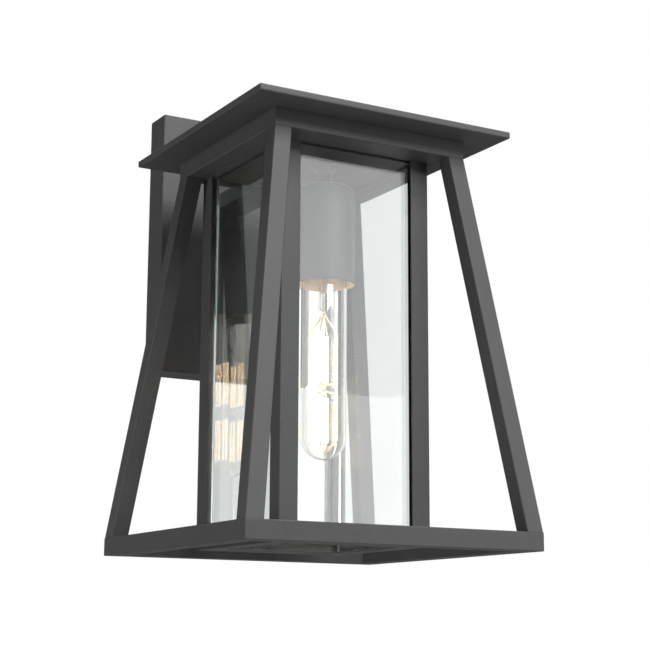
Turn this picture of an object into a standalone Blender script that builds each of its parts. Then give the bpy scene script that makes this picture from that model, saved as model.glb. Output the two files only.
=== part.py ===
"""Outdoor wall lantern: a splayed square-tube frame round a straight glass cage with a tubular lamp.

The origin is the middle of the wall face. +Y points into the wall, -Y is the lantern's front, +Z is up.
"""

import math

import bmesh
import bpy
from mathutils import Matrix, Vector

# Shared clearances
GAP = 0.0003  # between touching pieces
RUN_GAP = 0.00035  # radial, between the lamp cap and its screw shell

# Outer frame
BASE_WIDTH = 0.210
TOP_WIDTH = 0.142
FRAME_HEIGHT = 0.272
TUBE = 0.012
TUBE_WALL = 0.0012
ROOF_WIDTH = 0.187
ROOF_THICKNESS = 0.0042
EDGE_RADIUS = 0.0006
ROOF_EDGE_RADIUS = 0.0012

# Where the frame stands from the wall mount
CENTRE_Y = -0.1567
BASE_Z = -0.2321

# Inner cage, measured from the frame's centre line
CAGE_HALF_X = 0.055
CAGE_FRONT = 0.0515
CAGE_BACK = 0.066
CAGE_BASE = 0.0035
ANGLE_LEG = 0.013
ANGLE_WALL = 0.0015
CAGE_RAIL_HEIGHT = 0.012
CEILING_THICKNESS = 0.002
PANE_THICKNESS = 0.004
PANE_INSET = 0.004
PANE_EDGE_RADIUS = 0.0003

# Wall side
PLATE_WIDTH = 0.1143
PLATE_HEIGHT = 0.1944
PLATE_DEPTH = 0.0248
PLATE_WALL = 0.0012
PLATE_EDGE_RADIUS = 0.0008
ARM_WIDTH = 0.0254
WIRE_HOLE_RADIUS = 0.0045
BRACKET_WIDTH = 0.025
BRACKET_HEIGHT = 0.130
BRACKET_THICKNESS = 0.002
BRACKET_SLOT_Z = 0.04125
BRACKET_SLOT_LENGTH = 0.010
BRACKET_SLOT_WIDTH = 0.0045
BRACKET_WIRE_HOLE_Z = 0.018
STUD_SPACING = 0.114
STUD_RADIUS = 0.002
CAP_NUT_FLATS_RADIUS = 0.0042
CAP_NUT_HEX_HEIGHT = 0.0035
CAP_NUT_DOME_RADIUS = 0.0036

# Lampholder, on an axis a little in front of the frame's centre line. It hangs from the top of the frame
LAMP_Y = -0.0072
COVER_RADIUS = 0.0207
COVER_WALL = 0.001
COVER_RIM = FRAME_HEIGHT - 0.0945
COVER_TOP = FRAME_HEIGHT - 0.028
COVER_SHOULDER = 0.003
NIPPLE_RADIUS = 0.0049
NIPPLE_BORE = 0.0037
NIPPLE_BOTTOM = FRAME_HEIGHT - 0.035
NIPPLE_TOP = FRAME_HEIGHT - 0.004
LOCKNUT_RADIUS = 0.0085
LOCKNUT_HEIGHT = 0.003
BODY_RADIUS = 0.0165
BODY_BOTTOM = FRAME_HEIGHT - 0.075
BODY_TOP = FRAME_HEIGHT - 0.0296
BODY_CHAMBER_TOP = FRAME_HEIGHT - 0.043
SHELL_THICKNESS = 0.0005
SHELL_TOP = FRAME_HEIGHT - 0.053

# Lamp: a 30 mm tube on a 26 mm screw base
BULB_RADIUS = 0.01525
BULB_WALL = 0.001
BULB_TIP = FRAME_HEIGHT - 0.212
BULB_SHOULDER = FRAME_HEIGHT - 0.089
BULB_NECK_TOP = FRAME_HEIGHT - 0.073
BULB_NECK_RADIUS = 0.0112
CAP_CREST_RADIUS = 0.0131
CAP_ROOT_RADIUS = 0.0123
CAP_WALL = 0.0004
CAP_BOTTOM = FRAME_HEIGHT - 0.0805
CAP_THREAD_BOTTOM = FRAME_HEIGHT - 0.0735
CAP_THREAD_TURNS = 4
THREAD_PITCH = 0.003629
CAP_TOP_RADIUS = 0.008
CAP_TOP_RISE = 0.0015
THREAD_CREST = (0.35, 0.65)  # where the flat crest starts and ends, as shares of the pitch
INSULATOR_HEIGHT = 0.0025
PIP_RADIUS = 0.0045
PIP_HEIGHT = 0.0016
SHOULDER_RISE = 0.007
SHOULDER_STEP = 0.0012
CONTACT_WIDTH = 0.005
CONTACT_THICKNESS = 0.0005
CONTACT_LEG_X = 0.009
TIER_RADIUS = 0.0085
FILAMENT_RADIUS = 0.0009
UPPER_TIER = (FRAME_HEIGHT - 0.1602, FRAME_HEIGHT - 0.1274)
LOWER_TIER = (FRAME_HEIGHT - 0.2003, FRAME_HEIGHT - 0.169)
FILAMENT_COUNT = 4
WIRE_RADIUS = 0.0004
CENTRE_WIRE_RADIUS = 0.00055
HUB_RADIUS = 0.0013
HUB_HEIGHT = 0.0016
LOW_HUB_RISE = 0.006
SUPPORT_REACH = 0.020
STEM_RADIUS = 0.0028
STEM_BOTTOM = FRAME_HEIGHT - 0.112

ROUND_STEPS = 48
SMALL_STEPS = 20
WIRE_STEPS = 8


def clear_scene():
    for obj in list(bpy.data.objects):
        bpy.data.objects.remove(obj, do_unlink=True)


def make_material(name, colour, metallic, roughness, transmission=0.0):
    material = bpy.data.materials.new(name)
    material.use_nodes = True
    shader = material.node_tree.nodes["Principled BSDF"]
    shader.inputs["Base Color"].default_value = (*colour, 1.0)
    shader.inputs["Metallic"].default_value = metallic
    shader.inputs["Roughness"].default_value = roughness
    shader.inputs["Transmission Weight"].default_value = transmission
    return material


def powder_coat():
    return make_material("charcoal_powder_coat", (0.035, 0.036, 0.038), 0.0, 0.5)


def zinc_steel():
    return make_material("zinc_steel", (0.55, 0.55, 0.56), 1.0, 0.35)


def clear_glass():
    return make_material("clear_glass", (0.95, 0.98, 0.97), 0.0, 0.02, 1.0)


def holder_plastic():
    return make_material("holder_plastic", (0.02, 0.02, 0.02), 0.0, 0.45)


def shell_brass():
    return make_material("shell_brass", (0.78, 0.58, 0.25), 1.0, 0.3)


def cap_metal():
    return make_material("cap_metal", (0.75, 0.74, 0.72), 1.0, 0.3)


def black_glass():
    return make_material("insulator_glass", (0.01, 0.01, 0.012), 0.0, 0.1)


def lead_metal():
    return make_material("lead_wire_metal", (0.6, 0.58, 0.55), 1.0, 0.3)


def filament_phosphor():
    return make_material("filament_phosphor", (1.0, 0.78, 0.4), 0.0, 0.6)


class Maker:
    """Collects the finished pieces and the hidden cutters."""

    def __init__(self):
        self.cutters = bpy.data.collections.new("cutters")
        bpy.context.scene.collection.children.link(self.cutters)
        self.cutters.hide_render = True

    def piece(self, name, bm, material):
        return self.add(name, bm, material, bpy.context.scene.collection)

    def cutter(self, name, bm):
        obj = self.add(name, bm, None, self.cutters)
        obj.hide_render = True
        obj.display_type = "WIRE"
        return obj

    def add(self, name, bm, material, collection):
        bmesh.ops.recalc_face_normals(bm, faces=bm.faces)
        mesh = bpy.data.meshes.new(name)
        bm.to_mesh(mesh)
        bm.free()
        obj = bpy.data.objects.new(name, mesh)
        if material:
            mesh.materials.append(material)
        collection.objects.link(obj)
        return obj


def cut(obj, cutter):
    modifier = obj.modifiers.new("cut_" + cutter.name, "BOOLEAN")
    modifier.operation = "DIFFERENCE"
    modifier.solver = "EXACT"
    modifier.object = cutter


def join(obj, other):
    modifier = obj.modifiers.new("join_" + other.name, "BOOLEAN")
    modifier.operation = "UNION"
    modifier.solver = "EXACT"
    modifier.object = other


def soften(obj, radius):
    modifier = obj.modifiers.new("edges", "BEVEL")
    modifier.width = radius
    modifier.segments = 2
    modifier.limit_method = "ANGLE"
    modifier.angle_limit = math.radians(40)


def at_frame(x, y, z):
    """A point given from the frame's centre line and lower face, in the part's own axes."""
    return Vector((x, y + CENTRE_Y, z + BASE_Z))


def box(low, high):
    bm = bmesh.new()
    size = [b - a for a, b in zip(low, high)]
    middle = [(a + b) / 2 for a, b in zip(low, high)]
    matrix = Matrix.Translation(middle) @ Matrix.Diagonal((*size, 1.0))
    bmesh.ops.create_cube(bm, size=1.0, matrix=matrix)
    return bm


def frame_box(low, high):
    return box(at_frame(*low), at_frame(*high))


def cylinder(start, end, radius, steps, end_radius=None):
    bm = bmesh.new()
    axis = end - start
    turn = Vector((0, 0, 1)).rotation_difference(axis).to_matrix().to_4x4()
    matrix = Matrix.Translation((start + end) / 2) @ turn
    bmesh.ops.create_cone(
        bm,
        cap_ends=True,
        segments=steps,
        radius1=radius,
        radius2=radius if end_radius is None else end_radius,
        depth=axis.length,
        matrix=matrix,
    )
    return bm


def lathe(profile, steps, centre):
    """Spins a closed outline of (radius, height) points about the vertical axis through centre."""
    bm = bmesh.new()
    points = [bm.verts.new((radius, 0, height)) for radius, height in profile]
    edges = [bm.edges.new((a, b)) for a, b in zip(points, points[1:])]
    if profile[0][0] > 0:
        edges.append(bm.edges.new((points[-1], points[0])))
    bmesh.ops.spin(
        bm,
        geom=points + edges,
        axis=(0, 0, 1),
        cent=(0, 0, 0),
        angle=math.tau,
        steps=steps,
        use_merge=True,
    )
    bmesh.ops.remove_doubles(bm, verts=bm.verts, dist=1e-6)
    bmesh.ops.translate(bm, verts=bm.verts, vec=centre)
    return bm


def arc(radius, centre, start_degrees, end_degrees, steps):
    points = []
    for index in range(steps + 1):
        angle = math.radians(start_degrees + (end_degrees - start_degrees) * index / steps)
        points.append((centre[0] + radius * math.cos(angle), centre[1] + radius * math.sin(angle)))
    return points


def side_turns():
    return {
        "front": Matrix.Identity(4),
        "right": Matrix.Rotation(math.radians(90), 4, "Z"),
        "back": Matrix.Rotation(math.radians(180), 4, "Z"),
        "left": Matrix.Rotation(math.radians(-90), 4, "Z"),
    }


def mitred_bar(half, distance, size, low, high):
    """A bar along the front of a ring, its face at distance from the ring's middle, its ends mitred."""
    end = half - GAP / 2
    bm = box((-end, -distance, low), (end, -distance + size, high))
    for vertex in bm.verts:
        if vertex.co.y > -distance + size / 2:
            vertex.co.x *= (end - size) / end
    return bm


def ring(maker, prefix, half_x, half_y, middle_y, size, low, high, material, angle=False):
    """Four mitred square tubes that make one level ring, or four angle bars open to the inside and top."""
    wall = ANGLE_WALL if angle else TUBE_WALL
    open_by = size if angle else -wall
    for side, turn in side_turns().items():
        along, distance = (half_x, half_y) if side in ("front", "back") else (half_y, half_x)
        place = Matrix.Translation(at_frame(0, middle_y, 0)) @ turn
        bm = mitred_bar(along, distance, size, low, high)
        bmesh.ops.transform(bm, matrix=place, verts=bm.verts)
        rail = maker.piece(f"{prefix}_{side}", bm, material)
        soften(rail, EDGE_RADIUS)
        inside = box(
            (-along - size, -distance + wall, low + wall),
            (along + size, -distance + size + open_by, high + open_by),
        )
        bmesh.ops.transform(inside, matrix=place, verts=inside.verts)
        cut(rail, maker.cutter(f"{prefix}_{side}_bore", inside))


def splayed_bar(corner_x, corner_y, inset, size, low, high):
    """A leg-shaped prism: square in plan, leaning out towards the base along both axes."""

    def outer(height):
        share = (FRAME_HEIGHT - TUBE - height) / (FRAME_HEIGHT - 2 * TUBE)
        return (TOP_WIDTH + (BASE_WIDTH - TOP_WIDTH) * share) / 2

    bm = bmesh.new()
    bmesh.ops.create_cube(bm, size=1.0)
    for vertex in bm.verts:
        height = low if vertex.co.z < 0 else high
        reach = outer(height) - inset - size / 2
        x = corner_x * reach + vertex.co.x * size
        y = corner_y * reach + vertex.co.y * size
        vertex.co = at_frame(x, y, height)
    return bm


def corners():
    for side_y, y_name in ((-1, "front"), (1, "back")):
        for side_x, x_name in ((-1, "left"), (1, "right")):
            yield side_x, side_y, f"{y_name}_{x_name}"


def build_outer_frame(maker, coat):
    base = BASE_WIDTH / 2
    ring(maker, "bottom_rail", base, base, 0.0, TUBE, 0.0, TUBE, coat)
    top_half = TOP_WIDTH / 2
    top_low = FRAME_HEIGHT - TUBE
    ring(maker, "top_rail", top_half, top_half, 0.0, TUBE, top_low, FRAME_HEIGHT - GAP, coat)
    wire_hole = cylinder(
        Vector((0, CENTRE_Y + top_half - 2 * TUBE, arm_centre_z())),
        Vector((0, CENTRE_Y + top_half + TUBE, arm_centre_z())),
        WIRE_HOLE_RADIUS,
        SMALL_STEPS,
    )
    back_rail = bpy.data.objects["top_rail_back"]
    cut(back_rail, maker.cutter("top_rail_back_wire_hole", wire_hole))
    low = TUBE + GAP
    high = FRAME_HEIGHT - TUBE - GAP
    for side_x, side_y, name in corners():
        leg = maker.piece(f"leg_{name}", splayed_bar(side_x, side_y, 0.0, TUBE, low, high), coat)
        soften(leg, EDGE_RADIUS)
        inside = splayed_bar(
            side_x, side_y, TUBE_WALL, TUBE - 2 * TUBE_WALL, low - TUBE / 2, high + TUBE / 2
        )
        cut(leg, maker.cutter(f"leg_{name}_bore", inside))
    half = ROOF_WIDTH / 2
    top = FRAME_HEIGHT + ROOF_THICKNESS
    slab = frame_box((-half, -half, FRAME_HEIGHT), (half, half, top))
    roof = maker.piece("roof_plate", slab, coat)
    soften(roof, ROOF_EDGE_RADIUS)


def ceiling_height():
    """Lower face of the ceiling plate."""
    return FRAME_HEIGHT - TUBE + GAP


def build_ceiling(maker, coat):
    half = TOP_WIDTH / 2 - TUBE - GAP
    low = ceiling_height()
    plate = frame_box((-half, -half, low), (half, half, low + CEILING_THICKNESS))
    ceiling = maker.piece("ceiling_plate", plate, coat)
    hole = cylinder(
        at_frame(0, LAMP_Y, low - CEILING_THICKNESS),
        at_frame(0, LAMP_Y, low + 2 * CEILING_THICKNESS),
        NIPPLE_RADIUS + GAP,
        SMALL_STEPS,
    )
    cut(ceiling, maker.cutter("ceiling_plate_hole", hole))


def build_cage_posts(maker, coat):
    """Upright angle bars, their corners outwards."""
    low = CAGE_BASE + CAGE_RAIL_HEIGHT + GAP
    high = ceiling_height() - GAP
    for side_x, side_y, name in corners():
        outer_x = side_x * CAGE_HALF_X
        outer_y = -CAGE_FRONT if side_y < 0 else CAGE_BACK
        x_range = sorted((outer_x, outer_x - side_x * ANGLE_LEG))
        y_range = sorted((outer_y, outer_y - side_y * ANGLE_LEG))
        post = maker.piece(
            f"cage_post_{name}",
            frame_box((x_range[0], y_range[0], low), (x_range[1], y_range[1], high)),
            coat,
        )
        soften(post, EDGE_RADIUS)
        hollow_x = sorted((outer_x - side_x * ANGLE_WALL, outer_x - side_x * 2 * ANGLE_LEG))
        hollow_y = sorted((outer_y - side_y * ANGLE_WALL, outer_y - side_y * 2 * ANGLE_LEG))
        hollow = frame_box(
            (hollow_x[0], hollow_y[0], low - ANGLE_LEG),
            (hollow_x[1], hollow_y[1], high + ANGLE_LEG),
        )
        cut(post, maker.cutter(f"cage_post_{name}_hollow", hollow))


def cage_spans():
    """Clear spans between the posts: name, axis that the span runs along, its ends, and its outer face."""
    across = CAGE_HALF_X - ANGLE_WALL - GAP
    front_end = -CAGE_FRONT + ANGLE_LEG + GAP
    back_end = CAGE_BACK - ANGLE_LEG - GAP
    return (
        ("front", "x", (-across, across), -CAGE_FRONT, 1),
        ("back", "x", (-across, across), CAGE_BACK, -1),
        ("left", "y", (front_end, back_end), -CAGE_HALF_X, 1),
        ("right", "y", (front_end, back_end), CAGE_HALF_X, -1),
    )


def span_box(axis, ends, face, inward, start, depth, low, high):
    """A box that fills one span, from start to start + depth behind its outer face."""
    across = sorted((face + inward * start, face + inward * (start + depth)))
    if axis == "x":
        return frame_box((ends[0], across[0], low), (ends[1], across[1], high))
    return frame_box((across[0], ends[0], low), (across[1], ends[1], high))


def build_cage_sides(maker, coat, glass):
    rail_top = CAGE_BASE + CAGE_RAIL_HEIGHT
    depth = (CAGE_FRONT + CAGE_BACK) / 2
    middle = CAGE_BACK - depth
    ring(
        maker, "cage_rail", CAGE_HALF_X, depth, middle, ANGLE_LEG, CAGE_BASE, rail_top, coat, True
    )
    top = ceiling_height() - GAP
    floor = CAGE_BASE + ANGLE_WALL + GAP
    for name, axis, ends, face, inward in cage_spans():
        pane = maker.piece(
            f"glass_{name}",
            span_box(
                axis, ends, face, inward, PANE_INSET, PANE_THICKNESS, floor, top
            ),
            glass,
        )
        soften(pane, PANE_EDGE_RADIUS)


def build_backplate(maker, coat):
    half_x = PLATE_WIDTH / 2
    half_z = PLATE_HEIGHT / 2
    shell = box((-half_x, -PLATE_DEPTH, -half_z), (half_x, 0, half_z))
    plate = maker.piece("backplate", shell, coat)
    soften(plate, PLATE_EDGE_RADIUS)
    inside = box(
        (-half_x + PLATE_WALL, -PLATE_DEPTH + PLATE_WALL, -half_z + PLATE_WALL),
        (half_x - PLATE_WALL, PLATE_DEPTH, half_z - PLATE_WALL),
    )
    cut(plate, maker.cutter("backplate_inside", inside))
    holes = [
        (STUD_SPACING / 2, STUD_RADIUS + GAP),
        (-STUD_SPACING / 2, STUD_RADIUS + GAP),
        (arm_centre_z(), WIRE_HOLE_RADIUS),
    ]
    for index, (z, radius) in enumerate(holes):
        hole = cylinder(
            Vector((0, -PLATE_DEPTH - PLATE_WALL, z)),
            Vector((0, -PLATE_DEPTH + 2 * PLATE_WALL, z)),
            radius,
            SMALL_STEPS,
        )
        cut(plate, maker.cutter(f"backplate_hole_{index}", hole))


def arm_centre_z():
    return BASE_Z + FRAME_HEIGHT - TUBE / 2


def build_arm(maker, coat):
    """Rectangular tube from the backplate to the back rail of the top ring."""
    near = CENTRE_Y + TOP_WIDTH / 2 + GAP
    far = -PLATE_DEPTH - GAP
    half = TUBE / 2 - GAP
    z = arm_centre_z()
    arm = maker.piece(
        "mounting_arm",
        box((-ARM_WIDTH / 2, near, z - half), (ARM_WIDTH / 2, far, z + half)),
        coat,
    )
    soften(arm, EDGE_RADIUS)
    inside = box(
        (-ARM_WIDTH / 2 + TUBE_WALL, near - TUBE, z - half + TUBE_WALL),
        (ARM_WIDTH / 2 - TUBE_WALL, far + TUBE, z + half - TUBE_WALL),
    )
    cut(arm, maker.cutter("mounting_arm_bore", inside))


def build_bracket(maker, steel):
    half_x = BRACKET_WIDTH / 2
    half_z = BRACKET_HEIGHT / 2
    plate = box((-half_x, -BRACKET_THICKNESS, -half_z), (half_x, 0, half_z))
    bracket = maker.piece("wall_bracket", plate, steel)
    through = 2 * BRACKET_THICKNESS
    holes = [
        (STUD_SPACING / 2, STUD_RADIUS + GAP),
        (-STUD_SPACING / 2, STUD_RADIUS + GAP),
        (BRACKET_WIRE_HOLE_Z, WIRE_HOLE_RADIUS),
    ]
    for index, (z, radius) in enumerate(holes):
        hole = cylinder(Vector((0, -through, z)), Vector((0, through, z)), radius, SMALL_STEPS)
        cut(bracket, maker.cutter(f"bracket_hole_{index}", hole))
    half_length = BRACKET_SLOT_LENGTH / 2
    half_width = BRACKET_SLOT_WIDTH / 2
    for side in (-1, 1):
        z = side * BRACKET_SLOT_Z
        slot = box((-half_width, -through, z - half_length), (half_width, through, z + half_length))
        cut(bracket, maker.cutter(f"bracket_slot_{side + 1}", slot))


def build_studs(maker, steel, coat):
    """Threaded studs from the bracket, each with a domed nut on the backplate's face."""
    face = -PLATE_DEPTH - GAP
    stud_end = face - CAP_NUT_HEX_HEIGHT
    for side, name in ((1, "upper"), (-1, "lower")):
        z = side * STUD_SPACING / 2
        stud = cylinder(
            Vector((0, -GAP, z)), Vector((0, stud_end, z)), STUD_RADIUS, SMALL_STEPS
        )
        maker.piece(f"mounting_stud_{name}", stud, steel)
        hexagon = cylinder(
            Vector((0, face, z)),
            Vector((0, face - CAP_NUT_HEX_HEIGHT, z)),
            CAP_NUT_FLATS_RADIUS,
            6,
        )
        nut = maker.piece(f"cap_nut_{name}", hexagon, coat)
        base = 0.5 * CAP_NUT_HEX_HEIGHT
        profile = [(0.0, -base)]
        profile.append((CAP_NUT_DOME_RADIUS, -base))
        profile += arc(CAP_NUT_DOME_RADIUS, (0.0, 0.0), 0, 90, 5)[:-1]
        profile.append((0.0, CAP_NUT_DOME_RADIUS))
        dome = lathe(profile, SMALL_STEPS, (0, 0, 0))
        place = Matrix.Translation((0, face - CAP_NUT_HEX_HEIGHT, z))
        turn = Matrix.Rotation(math.radians(90), 4, "X")
        bmesh.ops.transform(dome, matrix=place @ turn, verts=dome.verts)
        join(nut, maker.cutter(f"cap_nut_{name}_dome", dome))
        blind = cylinder(
            Vector((0, face + CAP_NUT_HEX_HEIGHT, z)),
            Vector((0, stud_end - GAP, z)),
            STUD_RADIUS + GAP,
            SMALL_STEPS,
        )
        cut(nut, maker.cutter(f"cap_nut_{name}_hole", blind))


def build_socket(maker, coat, steel, plastic, brass):
    centre = at_frame(0, LAMP_Y, 0)
    hole = NIPPLE_RADIUS + GAP
    maker.piece(
        "nipple",
        lathe(
            [
                (NIPPLE_RADIUS, NIPPLE_TOP),
                (NIPPLE_RADIUS, NIPPLE_BOTTOM),
                (NIPPLE_BORE, NIPPLE_BOTTOM),
                (NIPPLE_BORE, NIPPLE_TOP),
            ],
            SMALL_STEPS,
            centre,
        ),
        steel,
    )
    ceiling_top = ceiling_height() + CEILING_THICKNESS
    nut_places = {
        "locknut_upper": ceiling_top + GAP,
        "locknut_lower": ceiling_height() - GAP - LOCKNUT_HEIGHT,
    }
    for name, nut_low in nut_places.items():
        nut = cylinder(
            at_frame(0, LAMP_Y, nut_low),
            at_frame(0, LAMP_Y, nut_low + LOCKNUT_HEIGHT),
            LOCKNUT_RADIUS,
            6,
        )
        locknut = maker.piece(name, nut, steel)
        nut_hole = cylinder(
            at_frame(0, LAMP_Y, nut_low - LOCKNUT_HEIGHT),
            at_frame(0, LAMP_Y, nut_low + 2 * LOCKNUT_HEIGHT),
            hole,
            SMALL_STEPS,
        )
        cut(locknut, maker.cutter(f"{name}_hole", nut_hole))

    inner = COVER_RADIUS - COVER_WALL
    outer_arc = arc(
        COVER_SHOULDER, (COVER_RADIUS - COVER_SHOULDER, COVER_TOP - COVER_SHOULDER), 90, 0, 4
    )
    inner_shoulder = COVER_SHOULDER - COVER_WALL
    inner_arc = arc(
        inner_shoulder,
        (inner - inner_shoulder, COVER_TOP - COVER_WALL - inner_shoulder),
        0,
        90,
        4,
    )
    profile = [(hole, COVER_TOP)] + outer_arc + [(COVER_RADIUS, COVER_RIM), (inner, COVER_RIM)]
    profile += inner_arc + [(hole, COVER_TOP - COVER_WALL)]
    maker.piece("socket_cover", lathe(profile, ROUND_STEPS, centre), coat)

    bore = CAP_CREST_RADIUS + RUN_GAP + SHELL_THICKNESS + GAP
    maker.piece(
        "socket_body",
        lathe(
            [
                (hole, BODY_TOP),
                (BODY_RADIUS, BODY_TOP),
                (BODY_RADIUS, BODY_BOTTOM),
                (bore, BODY_BOTTOM),
                (bore, BODY_CHAMBER_TOP),
                (hole, BODY_CHAMBER_TOP),
            ],
            ROUND_STEPS,
            centre,
        ),
        plastic,
    )
    shell_inner = CAP_CREST_RADIUS + RUN_GAP
    maker.piece(
        "socket_screw_shell",
        lathe(
            [
                (shell_inner + SHELL_THICKNESS, SHELL_TOP),
                (shell_inner + SHELL_THICKNESS, BODY_BOTTOM),
                (shell_inner, BODY_BOTTOM),
                (shell_inner, SHELL_TOP),
            ],
            ROUND_STEPS,
            centre,
        ),
        brass,
    )
    build_contact(maker, brass)


def build_contact(maker, brass):
    """Bent brass tongue: a short leg down from the chamber's roof and a flat finger over the lamp's pip."""
    half_width = CONTACT_WIDTH / 2
    finger_z = pip_top() + GAP
    leg = frame_box(
        (CONTACT_LEG_X - CONTACT_THICKNESS, LAMP_Y - half_width, finger_z),
        (CONTACT_LEG_X, LAMP_Y + half_width, BODY_CHAMBER_TOP - GAP),
    )
    contact = maker.piece("socket_contact", leg, brass)
    finger = frame_box(
        (-PIP_RADIUS / 2, LAMP_Y - half_width, finger_z),
        (
            CONTACT_LEG_X - CONTACT_THICKNESS / 2,
            LAMP_Y + half_width,
            finger_z + CONTACT_THICKNESS,
        ),
    )
    join(contact, maker.cutter("socket_contact_finger", finger))


def cap_thread_top():
    return CAP_THREAD_BOTTOM + CAP_THREAD_TURNS * THREAD_PITCH


def insulator_bottom():
    return cap_thread_top() + CAP_TOP_RISE + GAP


def pip_bottom():
    return insulator_bottom() + INSULATOR_HEIGHT + GAP


def pip_top():
    return pip_bottom() + PIP_HEIGHT


def build_bulb(maker, glass, cap_material, insulator_material):
    centre = at_frame(0, LAMP_Y, 0)
    middle = (0.0, BULB_TIP + BULB_RADIUS)
    inner = BULB_RADIUS - BULB_WALL
    neck_inner = BULB_NECK_RADIUS - BULB_WALL
    shoulder_top = BULB_SHOULDER + SHOULDER_RISE
    shoulder_bend = BULB_SHOULDER + SHOULDER_RISE / 2
    outside = [(0.0, BULB_TIP)] + arc(BULB_RADIUS, middle, -90, 0, 10)[1:]
    outside += [(BULB_RADIUS, BULB_SHOULDER), (BULB_RADIUS - SHOULDER_STEP, shoulder_bend)]
    outside += [(BULB_NECK_RADIUS, shoulder_top), (BULB_NECK_RADIUS, BULB_NECK_TOP)]
    inside = [(neck_inner, BULB_NECK_TOP), (neck_inner, shoulder_top)]
    inside += [(inner - SHOULDER_STEP, shoulder_bend), (inner, BULB_SHOULDER)]
    inside += arc(inner, middle, 0, -90, 10)[:-1] + [(0.0, BULB_TIP + BULB_WALL)]
    envelope = lathe(outside + inside, ROUND_STEPS, centre)
    maker.piece("bulb_envelope", envelope, glass)

    skirt = [(CAP_ROOT_RADIUS, CAP_BOTTOM), (CAP_ROOT_RADIUS, CAP_THREAD_BOTTOM)]
    thread = []
    for turn in range(CAP_THREAD_TURNS):
        height = CAP_THREAD_BOTTOM + turn * THREAD_PITCH
        for share in THREAD_CREST:
            thread.append((CAP_CREST_RADIUS, height + share * THREAD_PITCH))
        thread.append((CAP_ROOT_RADIUS, height + THREAD_PITCH))
    top = cap_thread_top()
    outside = skirt + thread + [(CAP_TOP_RADIUS, top + CAP_TOP_RISE)]
    inside_radius = CAP_ROOT_RADIUS - CAP_WALL
    inside = [(CAP_TOP_RADIUS - CAP_WALL, top + CAP_TOP_RISE - CAP_WALL / 2)]
    inside += [(inside_radius, top - CAP_WALL), (inside_radius, CAP_BOTTOM)]
    maker.piece("bulb_cap", lathe(outside + inside, ROUND_STEPS, centre), cap_material)

    low = insulator_bottom()
    frustum = cylinder(
        at_frame(0, LAMP_Y, low),
        at_frame(0, LAMP_Y, low + INSULATOR_HEIGHT),
        CAP_TOP_RADIUS,
        SMALL_STEPS,
        PIP_RADIUS,
    )
    maker.piece("bulb_insulator", frustum, insulator_material)
    pip = cylinder(
        at_frame(0, LAMP_Y, pip_bottom()),
        at_frame(0, LAMP_Y, pip_top()),
        PIP_RADIUS,
        SMALL_STEPS,
        PIP_RADIUS * 0.6,
    )
    maker.piece("bulb_pip", pip, cap_material)

    flare = neck_inner - 2 * GAP
    stem = lathe(
        [
            (0.0, STEM_BOTTOM),
            (STEM_RADIUS, STEM_BOTTOM + STEM_RADIUS),
            (STEM_RADIUS, shoulder_top - STEM_RADIUS),
            (flare * 0.7, shoulder_top + STEM_RADIUS),
            (flare, BULB_NECK_TOP - BULB_WALL),
            (0.0, BULB_NECK_TOP - BULB_WALL),
        ],
        SMALL_STEPS,
        centre,
    )
    maker.piece("bulb_stem", stem, glass)


def tier_points(height):
    points = []
    for index in range(FILAMENT_COUNT):
        angle = math.tau * (index + 0.5) / FILAMENT_COUNT
        x = TIER_RADIUS * math.cos(angle)
        y = LAMP_Y + TIER_RADIUS * math.sin(angle)
        points.append(at_frame(x, y, height))
    return points


def build_tiers(maker, glow):
    for tier, (low, high) in (("upper", UPPER_TIER), ("lower", LOWER_TIER)):
        for index, (start, end) in enumerate(zip(tier_points(low), tier_points(high))):
            rod = cylinder(start, end, FILAMENT_RADIUS, WIRE_STEPS + 4)
            maker.piece(f"filament_{tier}_{index + 1}", rod, glow)


def spider(maker, body, name, hub_height, tip_height):
    """A small hub on the centre line and four thin wires out to the ends of one tier, joined to body."""
    middle = at_frame(0, LAMP_Y, hub_height)
    half = Vector((0, 0, HUB_HEIGHT / 2))
    hub = cylinder(middle - half, middle + half, HUB_RADIUS, SMALL_STEPS)
    join(body, maker.cutter(f"{name}_hub", hub))
    for index, tip in enumerate(tier_points(tip_height)):
        start = middle + (tip - middle).normalized() * HUB_RADIUS * 0.6
        wire = cylinder(start, tip, WIRE_RADIUS, WIRE_STEPS)
        join(body, maker.cutter(f"{name}_{index}", wire))


def build_wires(maker, wire):
    """The upper wires hang from the stem. The lower frame is one centre wire with three sets of arms."""
    clear = WIRE_RADIUS + GAP
    lead_hub = STEM_BOTTOM - GAP - HUB_HEIGHT
    lead = cylinder(
        at_frame(0, LAMP_Y, STEM_BOTTOM - GAP),
        at_frame(0, LAMP_Y, lead_hub - HUB_HEIGHT),
        CENTRE_WIRE_RADIUS,
        SMALL_STEPS,
    )
    leads = maker.piece("bulb_lead_wires", lead, wire)
    spider(maker, leads, "lead_wire", lead_hub, UPPER_TIER[1] + clear)
    rod = cylinder(
        at_frame(0, LAMP_Y, BULB_TIP + 2 * BULB_WALL),
        at_frame(0, LAMP_Y, UPPER_TIER[0] + SUPPORT_REACH),
        CENTRE_WIRE_RADIUS,
        SMALL_STEPS,
    )
    frame = maker.piece("bulb_support_frame", rod, wire)
    middle = (UPPER_TIER[0] + LOWER_TIER[1]) / 2
    spider(maker, frame, "support_middle", middle + HUB_HEIGHT, UPPER_TIER[0] - clear)
    spider(maker, frame, "support_inner", middle - HUB_HEIGHT, LOWER_TIER[1] + clear)
    spider(maker, frame, "support_low", BULB_TIP + LOW_HUB_RISE, LOWER_TIER[0] - clear)


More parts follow.
